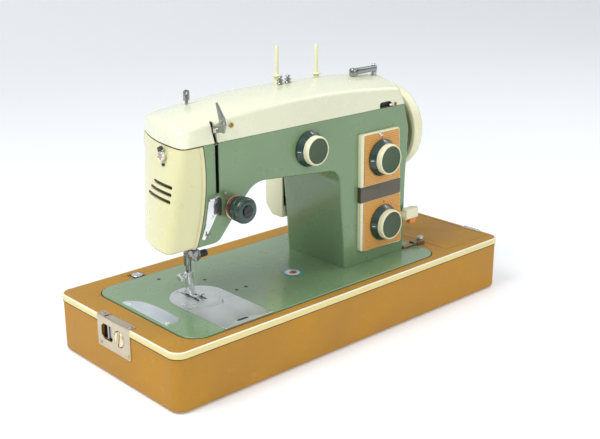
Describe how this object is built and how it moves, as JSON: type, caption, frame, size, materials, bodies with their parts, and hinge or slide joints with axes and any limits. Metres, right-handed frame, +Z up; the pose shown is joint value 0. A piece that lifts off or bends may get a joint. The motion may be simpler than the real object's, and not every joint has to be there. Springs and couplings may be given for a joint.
{
  "type": "sewing machine",
  "caption": "Portable zigzag sewing machine on its shallow carrying-case base, with tilting head, dials, handwheel, needle works, hook drive and accessory compartment.",
  "frame": {"origin": "middle of the case base, on the table it stands on", "axes": "+Z up; +X along the bed from the needle to the handwheel; +Y away from the operator"},
  "size_m": [0.5054, 0.2186, 0.3205],
  "materials": {
    "tan_leatherette": "matt",
    "deck_leatherette": "matt",
    "cream_trim": "satin",
    "foot_rubber": "matt",
    "plated_steel": "polished",
    "tray_board": "matt",
    "bright_steel": "satin",
    "green_enamel": "gloss",
    "cream_enamel": "gloss",
    "lamp_glass": "clear",
    "bronze": "satin",
    "black_rubber": "matt",
    "black_enamel": "satin",
    "black_plastic": "matt",
    "orange_panel": "satin",
    "ground_steel": "ground",
    "cream_plastic": "gloss",
    "green_plastic": "gloss"
  },
  "bodies": {
    "case": {"case_walls": "tan_leatherette", "case_deck": "deck_leatherette", "case_trim": "cream_trim", "case_feet": "foot_rubber", "lock_plate": "plated_steel", "hood_catches": "plated_steel", "deck_fittings": "plated_steel", "compartment_tray": "tray_board"},
    "lock_cam": {"lock_cam": "plated_steel"},
    "compartment_lid": {"compartment_lid": "deck_leatherette"},
    "bed_latch": {"bed_latch": "bright_steel"},
    "head": {"bed_casting": "green_enamel", "needle_plate": "plated_steel", "end_cover_plate": "plated_steel", "bed_catch": "bright_steel", "bed_hinges": "bright_steel", "arm_casting": "green_enamel", "top_cover": "cream_enamel", "spool_pins": "cream_plastic", "pretension_guide": "plated_steel", "thread_guides": "plated_steel", "lamp": "lamp_glass", "bushes": "bronze", "timing_belt": "black_rubber", "motor_belt": "black_rubber", "bobbin_case": "bright_steel", "motor_housing": "black_enamel", "rear_cover": "cream_plastic", "power_inlet": "black_plastic", "dial_panel": "orange_panel", "tension_plate": "plated_steel", "tension_post": "bright_steel"},
    "slide_plate": {"slide_plate": "plated_steel"},
    "face_cover": {"face_cover": "cream_enamel"},
    "face_catch": {"face_catch": "plated_steel"},
    "main_shaft": {"main_shaft": "ground_steel", "crank_disc": "ground_steel", "shaft_wheels": "black_plastic", "handwheel": "cream_plastic"},
    "clutch_knob": {"clutch_knob": "cream_plastic"},
    "lower_shaft": {"lower_shaft": "ground_steel"},
    "rotary_hook": {"rotary_hook": "bright_steel"},
    "bobbin": {"bobbin": "bright_steel"},
    "motor_rotor": {"motor_rotor": "ground_steel"},
    "needle_bar": {"needle_bar": "ground_steel", "needle_clamp": "bright_steel", "needle": "ground_steel"},
    "take_up_lever": {"take_up_lever": "plated_steel"},
    "presser_bar": {"presser_bar": "ground_steel", "presser_foot": "plated_steel"},
    "presser_lifter": {"presser_lifter": "plated_steel"},
    "feed_dog": {"feed_dog": "ground_steel"},
    "arm_dial": {"arm_dial": "cream_plastic"},
    "upper_dial": {"upper_dial": "cream_plastic"},
    "lower_dial": {"lower_dial": "cream_plastic"},
    "reverse_lever": {"reverse_lever": "cream_plastic"},
    "winder_arm": {"winder_arm": "plated_steel"},
    "winder_spindle": {"winder_spindle": "ground_steel"},
    "tension_knob": {"tension_knob": "green_plastic"},
    "check_spring": {"check_spring": "ground_steel"}
  },
  "joints": [
    {"name": "lock_turn", "type": "hinge", "parent": "case", "child": "lock_cam", "pos_m": [-0.2527, -0.011, 0.05], "axis": [1, 0, 0], "range_deg": [0, 90]},
    {"name": "compartment_lid_hinge", "type": "hinge", "parent": "case", "child": "compartment_lid", "pos_m": [0.2435, 0, 0.065], "axis": [0, 1, 0], "range_deg": [0, 95]},
    {"name": "bed_latch_turn", "type": "hinge", "parent": "case", "child": "bed_latch", "pos_m": [0.1585, -0.057, 0.07], "axis": [0, 0, 1], "range_deg": [0, 90]},
    {"name": "head_tilt", "type": "hinge", "parent": "case", "child": "head", "pos_m": [-0.033, 0.092, 0.0635], "axis": [-1, 0, 0], "range_deg": [0, 60]},
    {"name": "slide_plate_slide", "type": "slide", "parent": "head", "child": "slide_plate", "axis": [0, -1, 0], "range_m": [0, 0.035]},
    {"name": "face_cover_hinge", "type": "hinge", "parent": "head", "child": "face_cover", "pos_m": [-0.168, 0.0462, 0.198], "axis": [0, 0, -1], "range_deg": [0, 100]},
    {"name": "face_catch_turn", "type": "hinge", "parent": "face_cover", "child": "face_catch", "pos_m": [-0.2, -0.028, 0.2355], "axis": [1, 0, 0], "range_deg": [0, 90]},
    {"name": "handwheel_turn", "type": "hinge", "parent": "head", "child": "main_shaft", "pos_m": [0, -0.0065, 0.21], "axis": [1, 0, 0], "continuous": true},
    {"name": "clutch_knob_turn", "type": "hinge", "parent": "main_shaft", "child": "clutch_knob", "pos_m": [0.17, -0.0065, 0.21], "axis": [1, 0, 0], "range_deg": [0, 60]},
    {"name": "lower_shaft_turn", "type": "hinge", "parent": "head", "child": "lower_shaft", "pos_m": [0, 0.014, 0.024], "axis": [1, 0, 0], "continuous": true},
    {"name": "hook_turn", "type": "hinge", "parent": "head", "child": "rotary_hook", "pos_m": [-0.1505, 0, 0.041], "axis": [0, 1, 0], "continuous": true},
    {"name": "bobbin_turn", "type": "hinge", "parent": "head", "child": "bobbin", "pos_m": [-0.1505, -0.027, 0.041], "axis": [0, 1, 0], "continuous": true},
    {"name": "motor_turn", "type": "hinge", "parent": "head", "child": "motor_rotor", "pos_m": [0.08, 0.01, 0.112], "axis": [1, 0, 0], "continuous": true},
    {"name": "needle_bar_slide", "type": "slide", "parent": "head", "child": "needle_bar", "axis": [0, 0, -1], "range_m": [0, 0.033]},
    {"name": "take_up_swing", "type": "hinge", "parent": "head", "child": "take_up_lever", "pos_m": [-0.1565, 0.004, 0.228], "axis": [1, 0, 0], "range_deg": [0, 50]},
    {"name": "presser_bar_slide", "type": "slide", "parent": "head", "child": "presser_bar", "axis": [0, 0, 1], "range_m": [0, 0.00586]},
    {"name": "presser_lifter_turn", "type": "hinge", "parent": "head", "child": "presser_lifter", "pos_m": [-0.1505, 0.04, 0.17], "axis": [0, -1, 0], "range_deg": [0, 80]},
    {"name": "feed_dog_slide", "type": "slide", "parent": "head", "child": "feed_dog", "axis": [0, 1, 0], "range_m": [-0.0015, 0.0015]},
    {"name": "arm_dial_turn", "type": "hinge", "parent": "head", "child": "arm_dial", "pos_m": [-0.031, -0.062, 0.2203], "axis": [0, -1, 0], "range_deg": [-135, 135]},
    {"name": "upper_dial_turn", "type": "hinge", "parent": "head", "child": "upper_dial", "pos_m": [0.079, -0.066, 0.192], "axis": [0, -1, 0], "range_deg": [-135, 135]},
    {"name": "lower_dial_turn", "type": "hinge", "parent": "head", "child": "lower_dial", "pos_m": [0.0835, -0.066, 0.1127], "axis": [0, -1, 0], "range_deg": [-135, 135]},
    {"name": "reverse_press", "type": "hinge", "parent": "head", "child": "reverse_lever", "pos_m": [0.117, -0.028, 0.115], "axis": [1, 0, 0], "range_deg": [0, 12], "stiffness_Nm_per_rad": 0.6, "springref_deg": -8.59},
    {"name": "winder_swing", "type": "hinge", "parent": "head", "child": "winder_arm", "pos_m": [0.08, -0.014, 0.275], "axis": [0, 0, 1], "range_deg": [0, 8]},
    {"name": "winder_spin", "type": "hinge", "parent": "winder_arm", "child": "winder_spindle", "pos_m": [0.114, -0.014, 0.28], "axis": [0, 0, 1], "continuous": true},
    {"name": "tension_turn", "type": "hinge", "parent": "head", "child": "tension_knob", "pos_m": [-0.1375, -0.07, 0.1785], "axis": [0, -1, 0], "range_deg": [0, 270]},
    {"name": "check_spring_swing", "type": "hinge", "parent": "head", "child": "check_spring", "pos_m": [-0.1375, -0.059, 0.1785], "axis": [0, -1, 0], "range_deg": [0, 40], "stiffness_Nm_per_rad": 0.004, "springref_deg": -17.19}
  ],
  "couplings": [
    {"joint": "lower_shaft_turn", "follows": "handwheel_turn", "ratio": 1},
    {"joint": "hook_turn", "follows": "handwheel_turn", "ratio": 2},
    {"joint": "motor_turn", "follows": "handwheel_turn", "ratio": 4.2877},
    {"joint": "presser_lifter_turn", "follows": "presser_bar_slide", "rad_per_m": 238.1}
  ]
}
